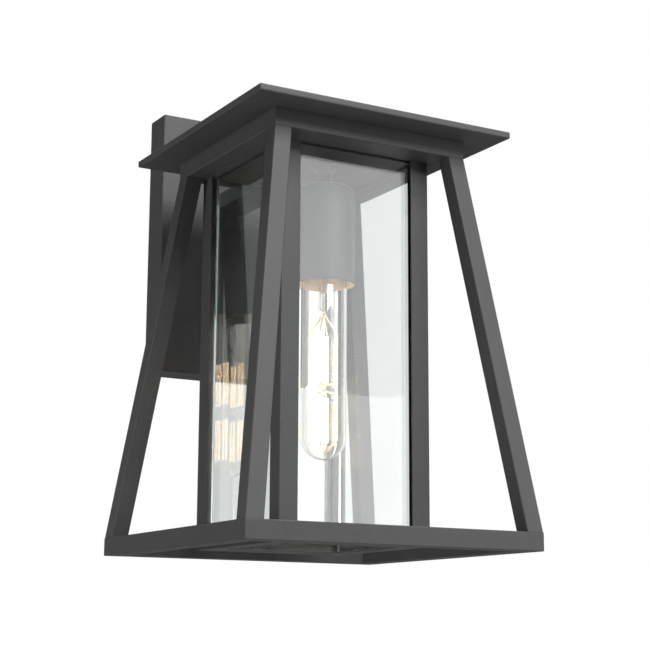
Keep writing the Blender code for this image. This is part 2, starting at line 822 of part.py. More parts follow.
def main():
    clear_scene()
    maker = Maker()
    coat = powder_coat()
    steel = zinc_steel()
    glass = clear_glass()
    brass = shell_brass()
    cap_material = cap_metal()
    build_bracket(maker, steel)
    build_studs(maker, steel, coat)
    build_backplate(maker, coat)
    build_arm(maker, coat)
    build_outer_frame(maker, coat)
    build_ceiling(maker, coat)
    build_cage_posts(maker, coat)
    build_cage_sides(maker, coat, glass)
    build_socket(maker, coat, steel, holder_plastic(), brass)
    build_bulb(maker, glass, cap_material, black_glass())
    build_wires(maker, lead_metal())
    build_tiers(maker, filament_phosphor())


main()
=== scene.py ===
"""Outdoor wall lantern: a charcoal powder-coated frame round a clear glass cage, with a lit tubular lamp."""

import math

import bmesh
import bpy
from mathutils import Matrix, Vector


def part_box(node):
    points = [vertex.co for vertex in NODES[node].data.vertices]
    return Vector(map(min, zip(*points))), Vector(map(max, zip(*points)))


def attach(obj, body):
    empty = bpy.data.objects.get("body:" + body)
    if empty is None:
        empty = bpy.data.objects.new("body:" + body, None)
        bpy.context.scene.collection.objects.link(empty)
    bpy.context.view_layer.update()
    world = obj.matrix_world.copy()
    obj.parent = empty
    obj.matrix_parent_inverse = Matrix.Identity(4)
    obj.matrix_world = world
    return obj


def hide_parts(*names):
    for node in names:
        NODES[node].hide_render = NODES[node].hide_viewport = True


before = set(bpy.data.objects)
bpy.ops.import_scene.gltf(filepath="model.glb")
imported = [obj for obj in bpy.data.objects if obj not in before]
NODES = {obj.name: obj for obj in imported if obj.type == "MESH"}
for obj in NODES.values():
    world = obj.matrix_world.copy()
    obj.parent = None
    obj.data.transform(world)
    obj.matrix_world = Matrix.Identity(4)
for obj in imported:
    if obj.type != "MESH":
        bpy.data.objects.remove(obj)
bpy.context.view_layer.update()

# Camera
CAMERA_PLACE = Vector((-0.50841, -1.05599, -0.28925))
CAMERA_YAW = 0.51958
CAMERA_PITCH = 0.19973
CAMERA_ROLL = 0.00526
CAMERA_LENS = 87.14
SENSOR_WIDTH = 36.0

# Frame tube
TUBE = 0.012
ARRIS = 0.0006
ANGLE_WALL = 0.0015
ROOF_ARRIS = 0.0009
END_REACH = 0.001  # how near a leg's end its corner points lie
SINK = 0.0003  # how far a welded end runs into its neighbour
GLASS_ARRIS = 0.0004
NARROW = 0.0004
ROUND = 96
GLASS_SHADOW = 0.4  # light that one face of the glass lets on to what stands behind it
FINE_ROUND = 48
FILAMENT_ROUND = 24

# Fasteners and threads
NUT_HEX_RADIUS = 0.0042
NUT_HEX_HEIGHT = 0.0035
NUT_DOME_RADIUS = 0.0036
NUT_CHAMFER = 0.00025
STUD_PITCH = 0.0007
STUD_THREAD_DEPTH = 0.00025
NIPPLE_PITCH = 0.0011
NIPPLE_THREAD_DEPTH = 0.0004
LOCKNUT_RADIUS = 0.0085
LOCKNUT_CHAMFER = 0.0004

# Lampholder
CUP_WALL = 0.001
CUP_SHOULDER = 0.003
CUP_HOLE = 0.0049
BODY_BORE = 0.01425
BODY_EDGE = 0.0007
BODY_ROOF = 0.0134

# Lamp
ENVELOPE_WALL = 0.0009
NECK_RADIUS = 0.0112
NECK_RISE = 0.016
CAP_PITCH = 0.003629
CAP_TURNS = 3
CAP_THREAD_DEPTH = 0.0008
CAP_SKIRT = 0.007
CAP_TOP_RADIUS = 0.008
RIDGE_SHARE = 0.92  # of the pitch, so that neighbouring turns don't touch
BUTTON_EDGE = 0.0006
STEM_RADIUS = 0.0028
STEM_EDGE = 0.0012
STEM_FLARE_RISE = 0.008
FILAMENT_PIN = 0.0008
PIN_SHARE = 0.5  # a pin's radius as a share of its filament's
FILAMENTS_PER_TIER = 4

SIDE_WAYS = {
    "front": Vector((0, -1, 0)),
    "back": Vector((0, 1, 0)),
    "left": Vector((-1, 0, 0)),
    "right": Vector((1, 0, 0)),
}
CORNERS = [(x, y) for y in ("front", "back") for x in ("left", "right")]


# ---------------------------------------------------------------- materials

def new_material(name):
    material = bpy.data.materials.new(name)
    material.use_nodes = True
    tree = material.node_tree
    return material, tree, tree.nodes["Principled BSDF"]


def object_point(tree, scale=1.0):
    place = tree.nodes.new("ShaderNodeTexCoord")
    mapping = tree.nodes.new("ShaderNodeMapping")
    mapping.inputs["Scale"].default_value = (scale, scale, scale)
    tree.links.new(place.outputs["Object"], mapping.inputs["Vector"])
    return mapping.outputs["Vector"]


def noise(tree, point, scale, detail=2.0, roughness=0.5):
    node = tree.nodes.new("ShaderNodeTexNoise")
    node.inputs["Scale"].default_value = scale
    node.inputs["Detail"].default_value = detail
    node.inputs["Roughness"].default_value = roughness
    tree.links.new(point, node.inputs["Vector"])
    return node.outputs["Fac"]


def spread(tree, value, low, high, start=0.3, end=0.7):
    node = tree.nodes.new("ShaderNodeMapRange")
    node.inputs["From Min"].default_value = start
    node.inputs["From Max"].default_value = end
    node.inputs["To Min"].default_value = low
    node.inputs["To Max"].default_value = high
    tree.links.new(value, node.inputs["Value"])
    return node.outputs["Result"]


def two_colours(tree, value, first, second, start=0.35, end=0.65):
    ramp = tree.nodes.new("ShaderNodeValToRGB")
    ramp.color_ramp.elements[0].position = start
    ramp.color_ramp.elements[0].color = (*first, 1.0)
    ramp.color_ramp.elements[1].position = end
    ramp.color_ramp.elements[1].color = (*second, 1.0)
    tree.links.new(value, ramp.inputs["Fac"])
    return ramp.outputs["Color"]


def bumps(tree, heights, shader):
    """Chains (height, strength, distance) bumps into the shader's normal."""
    normal = None
    for height, strength, distance in heights:
        bump = tree.nodes.new("ShaderNodeBump")
        bump.inputs["Strength"].default_value = strength
        bump.inputs["Distance"].default_value = distance
        tree.links.new(height, bump.inputs["Height"])
        if normal:
            tree.links.new(normal, bump.inputs["Normal"])
        normal = bump.outputs["Normal"]
    tree.links.new(normal, shader.inputs["Normal"])


def powder_coat():
    """Charcoal polyester powder: fine orange peel, a salt-and-pepper grain and cloudy sheen."""
    material, tree, shader = new_material("charcoal_powder_coat")
    point = object_point(tree)
    cloud = noise(tree, point, 35.0, 3.0)
    grain = noise(tree, point, 2600.0, 1.0)
    peel = noise(tree, point, 900.0, 2.0)
    mixed = tree.nodes.new("ShaderNodeMath")
    mixed.operation = "MULTIPLY_ADD"
    mixed.inputs[1].default_value = 0.8
    tree.links.new(grain, mixed.inputs[0])
    eased = tree.nodes.new("ShaderNodeMath")
    eased.operation = "MULTIPLY"
    eased.inputs[1].default_value = 0.2
    tree.links.new(cloud, eased.inputs[0])
    tree.links.new(eased.outputs["Value"], mixed.inputs[2])
    colour = two_colours(
        tree, mixed.outputs["Value"], (0.034, 0.0345, 0.0355), (0.052, 0.0525, 0.0535)
    )
    tree.links.new(colour, shader.inputs["Base Color"])
    tree.links.new(spread(tree, cloud, 0.50, 0.54), shader.inputs["Roughness"])
    shader.inputs["Specular IOR Level"].default_value = 0.32
    bumps(tree, [(peel, 0.08, 0.0002), (grain, 0.05, 0.00008)], shader)
    return material


def clear_glass(name, colour, edge=False):
    """Clear glass that lets part of each light on. A ground edge is green and a little dull."""
    material, tree, shader = new_material(name)
    point = object_point(tree)
    wave = noise(tree, point, 14.0, 1.0)
    tint = two_colours(tree, wave, tuple(0.985 * c for c in colour), colour)
    tree.links.new(tint, shader.inputs["Base Color"])
    shader.inputs["Transmission Weight"].default_value = 1.0
    shader.inputs["IOR"].default_value = 1.5
    if edge:
        saw = noise(tree, point, 1800.0, 2.0)
        tree.links.new(spread(tree, saw, 0.0, 0.12), shader.inputs["Roughness"])
    else:
        shader.inputs["Roughness"].default_value = 0.0
    path = tree.nodes.new("ShaderNodeLightPath")
    clear = tree.nodes.new("ShaderNodeBsdfTransparent")
    clear.inputs["Color"].default_value = (*[GLASS_SHADOW * c for c in colour], 1.0)
    mix = tree.nodes.new("ShaderNodeMixShader")
    output = tree.nodes["Material Output"]
    tree.links.new(path.outputs["Is Shadow Ray"], mix.inputs["Fac"])
    tree.links.new(shader.outputs["BSDF"], mix.inputs[1])
    tree.links.new(clear.outputs["BSDF"], mix.inputs[2])
    tree.links.new(mix.outputs["Shader"], output.inputs["Surface"])
    return material


def bright_metal(name, first, second, low, high, scale=400.0, stretch=None):
    """Plated or drawn metal: mottled colour, uneven polish, and fine lines where it was drawn or turned."""
    material, tree, shader = new_material(name)
    point = object_point(tree)
    if stretch:
        point.node.inputs["Scale"].default_value = stretch
    mottle = noise(tree, point, scale, 3.0)
    tree.links.new(two_colours(tree, mottle, first, second), shader.inputs["Base Color"])
    tree.links.new(spread(tree, mottle, low, high), shader.inputs["Roughness"])
    shader.inputs["Metallic"].default_value = 1.0
    bumps(tree, [(mottle, 0.08, 0.0001)], shader)
    return material


def dull_plastic(name, first, second, low, high, coat=0.0):
    material, tree, shader = new_material(name)
    point = object_point(tree)
    cloud = noise(tree, point, 120.0, 3.0)
    tree.links.new(two_colours(tree, cloud, first, second), shader.inputs["Base Color"])
    tree.links.new(spread(tree, cloud, low, high), shader.inputs["Roughness"])
    shader.inputs["Coat Weight"].default_value = coat
    bumps(tree, [(noise(tree, point, 1500.0, 2.0), 0.1, 0.0001)], shader)
    return material


def lit_phosphor():
    """Phosphor gel over a row of chips: brightest over each chip."""
    material, tree, shader = new_material("filament_phosphor")
    point = object_point(tree)
    wave = tree.nodes.new("ShaderNodeTexWave")
    wave.bands_direction = "Z"
    wave.inputs["Scale"].default_value = 160.0
    wave.inputs["Distortion"].default_value = 0.5
    tree.links.new(point, wave.inputs["Vector"])
    tree.links.new(two_colours(tree, wave.outputs["Fac"], (1.0, 0.62, 0.2), (1.0, 0.74, 0.34), 0, 1),
                   shader.inputs["Base Color"])
    tree.links.new(two_colours(tree, wave.outputs["Fac"], (1.0, 0.66, 0.34), (1.0, 0.74, 0.44), 0, 1),
                   shader.inputs["Emission Color"])
    shader.inputs["Emission Strength"].default_value = FILAMENT_GLOW
    shader.inputs["Roughness"].default_value = 0.6
    return material


FILAMENT_GLOW = 60.0
COAT = powder_coat()
PANE = clear_glass("pane_glass", (0.985, 0.995, 0.992))
PANE_EDGE = clear_glass("pane_edge_glass", (0.42, 0.80, 0.66), edge=True)
BULB_GLASS = clear_glass("bulb_glass", (0.99, 0.98, 0.94))
ZINC = bright_metal("zinc_steel", (0.15, 0.15, 0.155), (0.24, 0.24, 0.245), 0.34, 0.48)
BRASS = bright_metal("shell_brass", (0.70, 0.50, 0.20), (0.83, 0.62, 0.28), 0.2, 0.34)
CAP_METAL = bright_metal("cap_metal", (0.70, 0.69, 0.66), (0.82, 0.81, 0.78), 0.18, 0.3)
WIRE_METAL = bright_metal("lead_wire_metal", (0.62, 0.55, 0.42), (0.75, 0.68, 0.55), 0.2, 0.35, 900.0)
# A pale lining. Its warm orange tint is painted lamplight, standing in for the filaments' glow on the inside
# of the cup.
CUP_LINING_PAINTED_LAMPLIGHT = dull_plastic("cup_lining_painted_lamplight", (0.80, 0.64, 0.44), (0.88, 0.72, 0.52), 0.35, 0.5)
PHENOLIC = dull_plastic("holder_plastic", (0.016, 0.016, 0.016), (0.028, 0.027, 0.026), 0.38, 0.52)
VITRITE = dull_plastic("insulator_glass", (0.008, 0.008, 0.012), (0.018, 0.016, 0.022), 0.06, 0.14, 0.5)
# The panes' top edges: a near-black painted shade, standing in for the shade where the glass meets the
# ceiling.
PAINTED_SHADE_PANE_EDGE = dull_plastic("painted_shade_pane_edge", (0.006, 0.009, 0.008), (0.012, 0.016, 0.014), 0.5, 0.65)
PHOSPHOR = lit_phosphor()


# ---------------------------------------------------------------- making pieces

def node_box(*names):
    """Lowest and highest corner round several CAD nodes."""
    boxes = [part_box(name) for name in names]
    low = Vector([min(b[0][i] for b in boxes) for i in range(3)])
    high = Vector([max(b[1][i] for b in boxes) for i in range(3)])
    return low, high


def soften(bm, edges, width=ARRIS, segments=3):
    bmesh.ops.bevel(
        bm, geom=edges, offset=width, offset_type="OFFSET", segments=segments,
        profile=0.5, affect="EDGES", clamp_overlap=True, material=-1,
    )


def block(low, high):
    bm = bmesh.new()
    middle = (low + high) / 2
    size = high - low
    bmesh.ops.create_cube(bm, size=1.0, matrix=Matrix.Translation(middle) @ Matrix.Diagonal((*size, 1)))
    return bm


def edges_along(bm, axis, share=0.8):
    return [e for e in bm.edges
            if abs((e.verts[0].co - e.verts[1].co).normalized()[axis]) > share]


def keep_flat(mesh):
    """Only the narrow rounded edges of a bar are shaded smooth, so its faces stay flat."""
    for face in mesh.polygons:
        rim = sum((mesh.vertices[a].co - mesh.vertices[b].co).length for a, b in face.edge_keys)
        face.use_smooth = 2 * face.area / rim < NARROW


def piece(name, bm, materials, body, nodes, smooth=35.0, flat=False):
    bmesh.ops.remove_doubles(bm, verts=bm.verts, dist=1e-6)
    bmesh.ops.recalc_face_normals(bm, faces=bm.faces)
    mesh = bpy.data.meshes.new(name)
    bm.to_mesh(mesh)
    bm.free()
    for material in materials:
        mesh.materials.append(material)
    mesh.shade_smooth()
    mesh.set_sharp_from_angle(angle=math.radians(smooth))
    if flat:
        keep_flat(mesh)
    obj = bpy.data.objects.new(name, mesh)
    bpy.context.scene.collection.objects.link(obj)
    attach(obj, body)
    if nodes:
        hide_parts(*nodes)
    return obj


def spun(profile, centre, steps, closed=True):
    """Spins an outline of (radius, height) points, heights in the part's frame, about the upright axis."""
    bm = bmesh.new()
    points = [bm.verts.new((radius, 0, height)) for radius, height in profile]
    edges = [bm.edges.new(pair) for pair in zip(points, points[1:])]
    if closed:
        edges.append(bm.edges.new((points[-1], points[0])))
    bmesh.ops.spin(bm, geom=points + edges, cent=(0, 0, 0), axis=(0, 0, 1), angle=math.tau,
                   steps=steps, use_merge=True)
    bmesh.ops.remove_doubles(bm, verts=bm.verts, dist=1e-7)
    bmesh.ops.translate(bm, verts=bm.verts, vec=(centre[0], centre[1], 0))
    return bm


def bend(radius, centre, start, end, steps):
    """Points on an arc, from start to end degrees."""
    return [(centre[0] + radius * math.cos(math.radians(start + (end - start) * i / steps)),
             centre[1] + radius * math.sin(math.radians(start + (end - start) * i / steps)))
            for i in range(steps + 1)]


def thread(outline, centre, base, pitch, turns, steps):
    """Sweeps a closed ridge up a helix about the upright axis and caps its two ends."""
    bm = bmesh.new()
    points = [bm.verts.new((radius, 0, base + height)) for radius, height in outline]
    edges = [bm.edges.new(pair) for pair in zip(points, points[1:] + points[:1])]
    bmesh.ops.spin(bm, geom=points + edges, cent=(0, 0, 0), axis=(0, 0, 1),
                   dvec=(0, 0, pitch / steps), angle=math.tau * turns, steps=steps * turns)
    bmesh.ops.holes_fill(bm, edges=[e for e in bm.edges if e.is_boundary], sides=0)
    bmesh.ops.translate(bm, verts=bm.verts, vec=(centre[0], centre[1], 0))
    return bm


def axis_of(node):
    low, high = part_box(node)
    return (low + high) / 2


# ---------------------------------------------------------------- outer frame

def make_leg(x_side, y_side):
    """A square tube, level cut at both ends, leaning out towards the base."""
    name = f"leg_{y_side}_{x_side}"
    low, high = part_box(name)
    x_way = SIDE_WAYS[x_side].x
    y_way = SIDE_WAYS[y_side].y
    corners = {}
    for end in (0, 1):
        near = [v.co for v in NODES[name].data.vertices if abs(v.co.z - (low, high)[end].z) < END_REACH]
        reach_x = max(c.x * x_way for c in near)
        reach_y = max(c.y * y_way for c in near)
        corners[end] = Vector((reach_x * x_way, reach_y * y_way))
    bm = bmesh.new()
    bmesh.ops.create_cube(bm, size=1.0)
    for v in bm.verts:
        end = 1 if v.co.z > 0 else 0
        outer_x = v.co.x * x_way > 0
        outer_y = v.co.y * y_way > 0
        v.co.x = corners[end].x - (0 if outer_x else x_way * TUBE)
        v.co.y = corners[end].y - (0 if outer_y else y_way * TUBE)
        v.co.z = high.z + SINK if end else low.z - SINK
    soften(bm, edges_along(bm, 2))
    piece(f"{name}_tube", bm, [COAT], "lantern", [name], flat=True)


def make_ring(prefix, wall=None, sunk_top=False):
    """Four bars mitred into one level ring. With a wall they are angle bars, open to the inside and top."""
    names = [f"{prefix}_{side}" for side in SIDE_WAYS]
    low, high = node_box(*names)
    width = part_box(f"{prefix}_front")[1].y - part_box(f"{prefix}_front")[0].y
    top = high.z + (SINK if sunk_top else 0)
    for side, way in SIDE_WAYS.items():
        along = 0 if way.x == 0 else 1
        across = 1 - along
        out = way[across]
        outer = (high if out > 0 else low)[across]
        bm = bmesh.new()
        bmesh.ops.create_cube(bm, size=1.0)
        for v in bm.verts:
            is_outer = v.co[across] * out > 0
            is_high = v.co[along] > 0
            end = (high if is_high else low)[along]
            spot = Vector((0, 0, top if v.co.z > 0 else low.z))
            spot[across] = outer if is_outer else outer - out * width
            spot[along] = end if is_outer else end - width * (1 if is_high else -1)
            v.co = spot
        if wall:
            hollow_angle(bm, across, out, outer, low.z, wall)
        soften(bm, [e for e in edges_along(bm, along, 0.99) if e.calc_face_angle(0) > 0.5],
               ARRIS if not wall else wall / 4)
        piece(f"{prefix}_{side}_bar", bm, [COAT], "lantern", [f"{prefix}_{side}"],
              flat=True)


def hollow_angle(bm, across, out, outer, floor, wall):
    """Cuts a mitred bar down to an angle: a standing leg outside and a flat leg below."""
    normal = Vector((0, 0, 0))
    normal[across] = out
    bmesh.ops.bisect_plane(bm, geom=bm.verts[:] + bm.edges[:] + bm.faces[:],
                           plane_co=normal * (outer * out - wall), plane_no=normal)
    bmesh.ops.bisect_plane(bm, geom=bm.verts[:] + bm.edges[:] + bm.faces[:],
                           plane_co=(0, 0, floor + wall), plane_no=(0, 0, 1))
    inner_top = [f for f in bm.faces
                 if f.calc_center_median()[across] * out < outer * out - wall
                 and f.calc_center_median().z > floor + wall]
    bmesh.ops.delete(bm, geom=inner_top, context="FACES")
    loose = [e for e in bm.edges if not e.link_faces]
    bmesh.ops.delete(bm, geom=loose, context="EDGES")
    rim = [e for e in bm.edges if e.is_boundary]
    bmesh.ops.holes_fill(bm, edges=rim, sides=0)


def make_roof():
    low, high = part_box("roof_plate")
    low = low - Vector((0, 0, SINK))
    bm = block(low, high)
    soften(bm, bm.edges[:], ROOF_ARRIS, 4)
    piece("roof_slab", bm, [COAT], "lantern", ["roof_plate"], flat=True)


for x_side, y_side in CORNERS:
    make_leg(x_side, y_side)
make_ring("bottom_rail")
make_ring("top_rail", sunk_top=True)
make_roof()


# ---------------------------------------------------------------- cage

def make_post(x_side, y_side):
    """An upright angle bar, its corner outwards."""
    name = f"cage_post_{y_side}_{x_side}"
    low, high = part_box(name)
    out = Vector((SIDE_WAYS[x_side].x, SIDE_WAYS[y_side].y))
    outer = Vector((high.x if out.x > 0 else low.x, high.y if out.y > 0 else low.y))
    leg_x = high.x - low.x
    leg_y = high.y - low.y
    wall = ANGLE_WALL
    outline = [(0, 0), (leg_x, 0), (leg_x, wall), (wall, wall), (wall, leg_y), (0, leg_y)]
    bm = bmesh.new()
    foot = [bm.verts.new((outer.x - out.x * a, outer.y - out.y * b, low.z - SINK)) for a, b in outline]
    face = bm.faces.new(foot)
    made = bmesh.ops.extrude_face_region(bm, geom=[face])["geom"]
    lifted = [g for g in made if isinstance(g, bmesh.types.BMVert)]
    bmesh.ops.translate(bm, verts=lifted, vec=(0, 0, high.z - low.z + 2 * SINK))
    soften(bm, edges_along(bm, 2), ANGLE_WALL / 4, 2)
    piece(f"{name}_angle", bm, [COAT], "lantern", [name], flat=True)


def make_pane(side):
    """A cut pane with its arrises taken off. Its edges are green, and the top one is painted near-black as
    painted shade where the glass meets the ceiling.
    """
    name = f"glass_{side}"
    low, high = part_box(name)
    across = 1 if SIDE_WAYS[side].x == 0 else 0
    bm = block(low, high)
    soften(bm, bm.edges[:], GLASS_ARRIS, 1)
    for face in bm.faces:
        # The top edge face gets the painted shade material.
        shaded_top = face.normal.z > 0.5
        face.material_index = 0 if abs(face.normal[across]) > 0.9 else 2 if shaded_top else 1
    obj = piece(f"{name}_pane", bm, [PANE, PANE_EDGE, PAINTED_SHADE_PANE_EDGE], "lantern", [name], 20.0)
    return obj


make_ring("cage_rail", ANGLE_WALL)
for x_side, y_side in CORNERS:
    make_post(x_side, y_side)
for side in SIDE_WAYS:
    make_pane(side)
def coat_node(name, material):
    NODES[name].data.materials.clear()
    NODES[name].data.materials.append(material)


for name in ("ceiling_plate", "mounting_arm", "backplate"):
    coat_node(name, COAT)
coat_node("wall_bracket", ZINC)
for name in ("socket_screw_shell", "socket_contact"):
    coat_node(name, BRASS)
for name in ("bulb_lead_wires", "bulb_support_frame"):
    coat_node(name, WIRE_METAL)


# ---------------------------------------------------------------- lampholder and lamp

def make_cup():
    """The turned cup over the lampholder: rounded shoulder, thin wall, pale lining whose warm orange tint is
    painted lamplight from the filaments.
    """
    low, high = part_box("socket_cover")
    centre = axis_of("socket_cover")
    radius = (high.x - low.x) / 2
    wall = CUP_WALL
    shoulder = CUP_SHOULDER
    hole = CUP_HOLE
    outside = [(hole, high.z)] + bend(shoulder, (radius - shoulder, high.z - shoulder), 90, 0, 8)
    rim = [(radius, low.z + wall / 2)] + bend(wall / 2, (radius - wall / 2, low.z + wall / 2), 0, -180, 6)
    inner = radius - wall
    inside = bend(shoulder - wall, (inner - shoulder + wall, high.z - shoulder), 0, 90, 6)
    inside += [(hole, high.z - wall)]
    bm = spun(outside + rim + inside, centre, ROUND)
    for face in bm.faces:
        spot = face.calc_center_median()
        reach = (spot.xy - centre.xy).length
        # The inside faces get the pale lining with its painted warm lamplight.
        lined = reach < inner + wall * 0.2 and spot.z < high.z - wall * 0.5
        face.material_index = 1 if lined else 0
    piece("socket_cup", bm, [COAT, CUP_LINING_PAINTED_LAMPLIGHT], "lantern", ["socket_cover"])


def make_envelope():
    """Blown tube with a domed end, drawn in to its neck."""
    low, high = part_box("bulb_envelope")
    centre = axis_of("bulb_envelope")
    radius = (high.x - low.x) / 2
    wall = ENVELOPE_WALL
    neck = NECK_RADIUS
    middle = (0.0, low.z + radius)
    shoulder = high.z - NECK_RISE
    outside = bend(radius, middle, -90, 0, 24)
    turn_out = [(radius - 0.0004, shoulder + 0.0018), (radius - 0.0018, shoulder + 0.0045),
                (neck + 0.0006, shoulder + 0.0072), (neck, shoulder + 0.009)]
    outside += [(radius, shoulder)] + turn_out + [(neck, high.z)]
    inside = [(neck - wall, high.z)] + [(r - wall, z) for r, z in reversed(turn_out)]
    inside += [(radius - wall, shoulder)] + bend(radius - wall, middle, 0, -90, 24)
    bm = spun(outside + inside, centre, ROUND, closed=False)
    piece("bulb_tube", bm, [BULB_GLASS], "bulb_glass", ["bulb_envelope"], 60.0)


def radius_of(name):
    low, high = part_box(name)
    return (high.x - low.x) / 2


def rings(radius, depth, low, high, pitch):
    """Outline of a threaded rod, solid to its axis."""
    outline = [(0.0, low)]
    count = int((high - low) / pitch)
    for i in range(count):
        base = low + i * pitch
        outline += [(radius - depth, base), (radius, base + pitch * 0.5)]
    return outline + [(radius - depth, low + count * pitch), (radius - depth, high), (0.0, high)]


def make_stud(level):
    """A threaded stud from the bracket through the backplate."""
    name = f"mounting_stud_{level}"
    low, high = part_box(name)
    outline = rings(radius_of(name), STUD_THREAD_DEPTH, 0.0, high.y - low.y, STUD_PITCH)
    bm = spun(outline, (0, 0), FINE_ROUND, closed=False)
    stand(bm, Vector((0, high.y, (low.z + high.z) / 2)))
    piece(f"{name}_rod", bm, [ZINC], "lantern", [name], 25.0)


def stand(bm, place):
    """Turns an upright piece so that it points out from the wall."""
    turn = Matrix.Rotation(math.radians(90), 4, "X")
    bmesh.ops.transform(bm, matrix=Matrix.Translation(place) @ turn, verts=bm.verts)


def hexagon(radius, low, high, chamfer):
    bm = bmesh.new()
    place = Matrix.Translation((0, 0, (low + high) / 2))
    bmesh.ops.create_cone(bm, cap_ends=True, segments=6, radius1=radius, radius2=radius,
                          depth=high - low, matrix=place)
    soften(bm, bm.edges[:], chamfer, 2)
    return bm


def add(bm, other):
    mesh = bpy.data.meshes.new("added")
    other.to_mesh(mesh)
    other.free()
    bm.from_mesh(mesh)
    bpy.data.meshes.remove(mesh)


def make_cap_nut(level):
    """A domed nut: chamfered hexagon with a round cap."""
    name = f"cap_nut_{level}"
    low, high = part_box(name)
    dome = NUT_DOME_RADIUS
    bm = hexagon(NUT_HEX_RADIUS, 0.0, NUT_HEX_HEIGHT, NUT_CHAMFER)
    outline = [(0.0, NUT_HEX_HEIGHT * 0.5), (dome, NUT_HEX_HEIGHT * 0.5)]
    outline += bend(dome, (0.0, NUT_HEX_HEIGHT), 0, 90, 12)[:-1]
    add(bm, spun(outline + [(0.0, NUT_HEX_HEIGHT + dome)], (0, 0), FINE_ROUND, closed=False))
    stand(bm, Vector((0, high.y, (low.z + high.z) / 2)))
    piece(f"{name}_acorn", bm, [COAT], "lantern", [name], 40.0)


def make_nipple():
    low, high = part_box("nipple")
    outline = rings(radius_of("nipple"), NIPPLE_THREAD_DEPTH, low.z, high.z, NIPPLE_PITCH)
    bm = spun(outline, axis_of("nipple"), FINE_ROUND, closed=False)
    piece("nipple_rod", bm, [ZINC], "lantern", ["nipple"], 25.0)


def make_locknut(level):
    name = f"locknut_{level}"
    low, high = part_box(name)
    centre = axis_of(name)
    bm = hexagon(LOCKNUT_RADIUS, low.z, high.z, LOCKNUT_CHAMFER)
    bmesh.ops.translate(bm, verts=bm.verts, vec=(centre.x, centre.y, 0))
    piece(f"{name}_hexagon", bm, [ZINC], "lantern", [name], 40.0)


def make_body():
    """Moulded lampholder body with rounded ends."""
    low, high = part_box("socket_body")
    radius = radius_of("socket_body")
    edge = BODY_EDGE
    outline = [(0.0, high.z)] + bend(edge, (radius - edge, high.z - edge), 90, 0, 5)
    outline += bend(edge, (radius - edge, low.z + edge), 0, -90, 5)
    outline += [(BODY_BORE, low.z), (BODY_BORE, high.z - BODY_ROOF), (0.0, high.z - BODY_ROOF)]
    bm = spun(outline, axis_of("socket_body"), ROUND, closed=False)
    piece("socket_moulding", bm, [PHENOLIC], "lantern", ["socket_body"])


def make_lamp_cap():
    """Screw cap: plain skirt, a rolled helical thread and a sloping shoulder."""
    low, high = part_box("bulb_cap")
    centre = axis_of("bulb_cap")
    crest = radius_of("bulb_cap")
    root = crest - CAP_THREAD_DEPTH
    start = low.z + CAP_SKIRT
    stop = start + 4 * CAP_PITCH
    core = [(0.0, low.z + 0.0004), (root - 0.0004, low.z), (root, low.z + 0.0003), (root, start)]
    core += [(root - 0.00002, start), (root - 0.00002, stop), (CAP_TOP_RADIUS, high.z - 0.0004)]
    core += [(0.0076, high.z), (0.0, high.z)]
    bm = spun(core, centre, ROUND, closed=False)
    width = RIDGE_SHARE * CAP_PITCH
    ridge = [(root + (crest - root) * (0.5 - 0.5 * math.cos(math.tau * i / 12)), width * i / 12)
             for i in range(13)]
    ridge += [(root - 0.0003, width), (root - 0.0003, 0.0)]
    add(bm, thread(ridge, centre, start, CAP_PITCH, CAP_TURNS, ROUND))
    piece("bulb_screw_cap", bm, [CAP_METAL], "bulb_core", ["bulb_cap"], 40.0)


def make_button(name, made, material, edge):
    """A low round button with rounded edges, on the lamp's axis."""
    low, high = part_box(name)
    radius = radius_of(name)
    outline = [(0.0, low.z)] + bend(edge, (radius - edge, low.z + edge), -90, 0, 4)
    outline += bend(edge, (radius - edge, high.z - edge), 0, 90, 6) + [(0.0, high.z)]
    bm = spun(outline, axis_of(name), FINE_ROUND, closed=False)
    piece(made, bm, [material], "bulb_core", [name], 40.0)


def make_stem():
    """Drawn glass stem that flares to the neck."""
    low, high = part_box("bulb_stem")
    flare = radius_of("bulb_stem")
    thin = STEM_RADIUS
    rise = STEM_FLARE_RISE
    outline = [(0.0, low.z)] + bend(STEM_EDGE, (thin - STEM_EDGE, low.z + STEM_EDGE), -90, 0, 5)
    for i in range(9):
        t = i / 8
        outline.append((thin + (flare - thin) * t * t, high.z - rise * (1 - t)))
    outline += [(0.0, high.z)]
    bm = spun(outline, axis_of("bulb_stem"), FINE_ROUND, closed=False)
    piece("bulb_stem_flare", bm, [BULB_GLASS], "bulb_core", ["bulb_stem"], 60.0)


def make_filament(tier, number):
    """A rod of phosphor gel with rounded ends and a thinner bare metal pin at each end."""
    name = f"filament_{tier}_{number}"
    low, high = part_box(name)
    radius = radius_of(name)
    pin = radius * PIN_SHARE
    swell = radius - pin
    foot = low.z + FILAMENT_PIN
    head = high.z - FILAMENT_PIN
    outline = [(0.0, low.z), (pin, low.z), (pin, foot)]
    outline += bend(swell, (pin, foot + swell), -90, 0, 4)
    outline += bend(swell, (pin, head - swell), 0, 90, 4)
    outline += [(pin, head), (pin, high.z), (0.0, high.z)]
    bm = spun(outline, axis_of(name), FILAMENT_ROUND, closed=False)
    for face in bm.faces:
        face.material_index = 0 if foot < face.calc_center_median().z < head else 1
    piece(f"{name}_rod", bm, [PHOSPHOR, WIRE_METAL], "bulb_core", [name], 50.0)


make_cup()
make_envelope()
make_body()
make_nipple()
for level in ("upper", "lower"):
    make_stud(level)
    make_cap_nut(level)
    make_locknut(level)
    for number in range(1, FILAMENTS_PER_TIER + 1):
        make_filament(level, number)
make_lamp_cap()
make_button("bulb_insulator", "insulator_disc", VITRITE, BUTTON_EDGE)
make_button("bulb_pip", "solder_pip", CAP_METAL, BUTTON_EDGE)
make_stem()


# ---------------------------------------------------------------- studio

